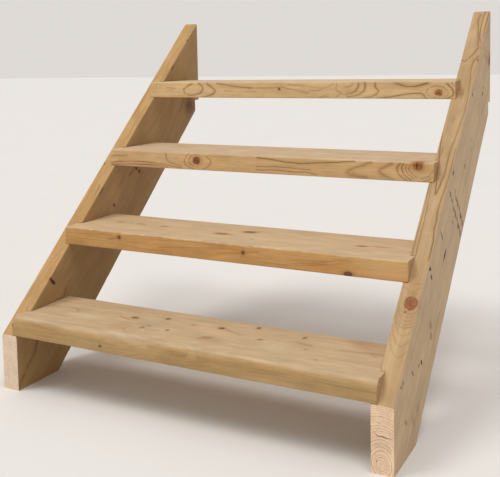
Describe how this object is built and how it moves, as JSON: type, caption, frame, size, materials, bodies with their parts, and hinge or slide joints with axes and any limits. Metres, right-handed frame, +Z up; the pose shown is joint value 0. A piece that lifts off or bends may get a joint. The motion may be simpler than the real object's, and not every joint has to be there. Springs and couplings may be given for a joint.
{
  "type": "mounting block steps",
  "caption": "Open flight of timber mounting steps: level treads housed and screwed between two sloping stringers, cut plumb at the top to stand against a wall or deck.",
  "frame": {"origin": "on the ground, at the middle of the flight's overall width and depth", "axes": "+X to the right of a person climbing, +Y the way they climb, towards the wall, +Z up"},
  "size_m": [0.966, 0.8506, 0.89],
  "materials": {
    "stringer_timber": "planed softwood, unfinished, pale tan with orange-brown grain lines and red-brown knots",
    "tread_1_timber": "planed softwood, unfinished, olive tan, with a worn rounded nose",
    "tread_2_timber": "planed softwood, unfinished, warm orange tan",
    "tread_3_timber": "planed softwood, unfinished, with a large red-brown knot on its front edge",
    "tread_4_timber": "planed softwood, unfinished, with bold oval grain on its front edge",
    "screw_steel": "yellow-passivated zinc on steel, dulled, sunk below the timber's face"
  },
  "bodies": {
    "root": {"stringer_left": "stringer_timber", "stringer_right": "stringer_timber", "tread_1": "tread_1_timber", "tread_2": "tread_2_timber", "tread_3": "tread_3_timber", "tread_4": "tread_4_timber", "screws_1_left": "screw_steel", "screws_2_left": "screw_steel", "screws_3_left": "screw_steel", "screws_4_left": "screw_steel", "screws_1_right": "screw_steel", "screws_2_right": "screw_steel", "screws_3_right": "screw_steel", "screws_4_right": "screw_steel"}
  },
  "joints": []
}
